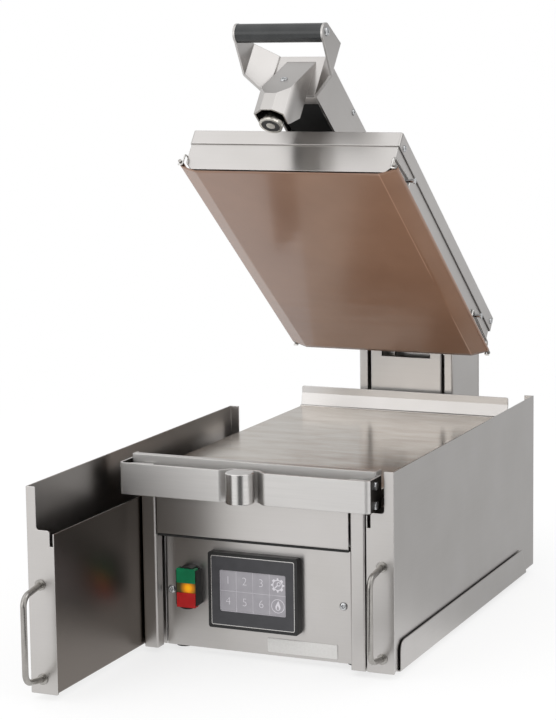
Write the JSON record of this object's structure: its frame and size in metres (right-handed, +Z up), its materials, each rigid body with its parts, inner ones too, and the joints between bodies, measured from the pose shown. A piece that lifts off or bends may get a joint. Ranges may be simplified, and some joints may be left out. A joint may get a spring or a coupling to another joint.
{
  "type": "clamshell contact grill",
  "caption": "Countertop clamshell contact grill: hinged heated upper platen with a release sheet over a griddle, pull-out side grease trays and a touch-panel front.",
  "frame": {"origin": "middle of the bounding box at the table, under the feet", "axes": "+X to the right seen from the front, +Y to the back, +Z up; the front faces -Y"},
  "size_m": [0.403, 0.9745, 0.8296],
  "materials": {
    "stainless_brushed": "brushed stainless sheet",
    "griddle_steel": "ground steel cooking surface",
    "polished_steel": "turned and polished steel",
    "bolt_steel": "bright zinc plate",
    "heater_steel": "dark oxidised tube",
    "spring_steel": "drawn spring wire",
    "platen_metal": "machined plate",
    "magnet_steel": "nickel plate",
    "coil_resin": "potting resin",
    "black_plastic": "moulded",
    "dark_grey_plastic": "fine texture",
    "screen_glass": "gloss, lit from behind",
    "green_plastic": "moulded",
    "red_plastic": "moulded",
    "amber_lens": "lit lens",
    "grip_plastic": "heat-resistant moulding",
    "foot_rubber": "moulded",
    "mineral_wool": "pressed board",
    "release_cloth": "brown non-stick coated glass cloth"
  },
  "bodies": {
    "base": {"feet": "foot_rubber", "bottom_panel": "stainless_brushed", "rear_panel": "stainless_brushed", "cable_gland": "black_plastic", "front_fascia": "stainless_brushed", "control_panel": "stainless_brushed", "panel_brackets": "stainless_brushed", "touch_panel_housing": "dark_grey_plastic", "touch_panel_screen": "screen_glass", "switch_body": "black_plastic", "pilot_lens": "amber_lens", "griddle_plate": "griddle_steel", "front_lip": "stainless_brushed", "back_splash": "stainless_brushed", "lower_heating_elements": "heater_steel", "lower_insulation": "mineral_wool", "insulation_shelf": "stainless_brushed", "solid_state_relays": "black_plastic", "front_bar": "stainless_brushed", "bar_brackets": "stainless_brushed", "bar_bolts": "bolt_steel", "armature_post": "polished_steel", "column_front_cover": "stainless_brushed", "column_rear_cover": "stainless_brushed", "hinge_bearings": "platen_metal", "spring_cartridges": "spring_steel", "left_side_panel": "stainless_brushed", "left_tray_rail": "stainless_brushed", "left_column_post": "stainless_brushed", "right_side_panel": "stainless_brushed", "right_tray_rail": "stainless_brushed", "right_column_post": "stainless_brushed"},
    "head": {"hinge_shaft": "polished_steel", "arm_hub": "stainless_brushed", "arm_top_cover": "stainless_brushed", "arm_front_cap": "stainless_brushed", "magnet_hood": "stainless_brushed", "magnet_shelf": "stainless_brushed", "magnet_shell": "magnet_steel", "magnet_coil": "coil_resin", "magnet_core": "magnet_steel", "grip": "grip_plastic", "lid": "stainless_brushed", "lid_hangers": "stainless_brushed", "platen_housing": "stainless_brushed", "upper_platen": "platen_metal", "upper_heating_elements": "heater_steel", "upper_insulation": "mineral_wool", "release_sheet": "release_cloth", "clip_rods": "polished_steel", "clip_studs": "bolt_steel", "spring_clips": "spring_steel", "left_arm_plate": "stainless_brushed", "right_arm_plate": "stainless_brushed"},
    "left_tray_drawer": {"left_tray": "stainless_brushed", "left_tray_handle": "polished_steel"},
    "right_tray_drawer": {"right_tray": "stainless_brushed", "right_tray_handle": "polished_steel"},
    "green_push_button": {"green_button": "green_plastic"},
    "red_push_button": {"red_button": "red_plastic"}
  },
  "joints": [
    {"name": "head_hinge", "type": "hinge", "parent": "base", "child": "head", "pos_m": [0, 0.44345, 0.3164], "axis": [1, 0, 0], "range_deg": [0, 38], "stiffness_Nm_per_rad": 60, "springref_deg": -85.94},
    {"name": "left_tray_slide", "type": "slide", "parent": "base", "child": "left_tray_drawer", "axis": [0, -1, 0], "range_m": [-0.229, 0.131]},
    {"name": "right_tray_slide", "type": "slide", "parent": "base", "child": "right_tray_drawer", "axis": [0, -1, 0], "range_m": [0, 0.36]},
    {"name": "green_button_press", "type": "slide", "parent": "base", "child": "green_push_button", "axis": [0, 1, 0], "range_m": [0, 0.004], "stiffness_N_per_m": 800},
    {"name": "red_button_press", "type": "slide", "parent": "base", "child": "red_push_button", "axis": [0, 1, 0], "range_m": [0, 0.004], "stiffness_N_per_m": 800}
  ]
}
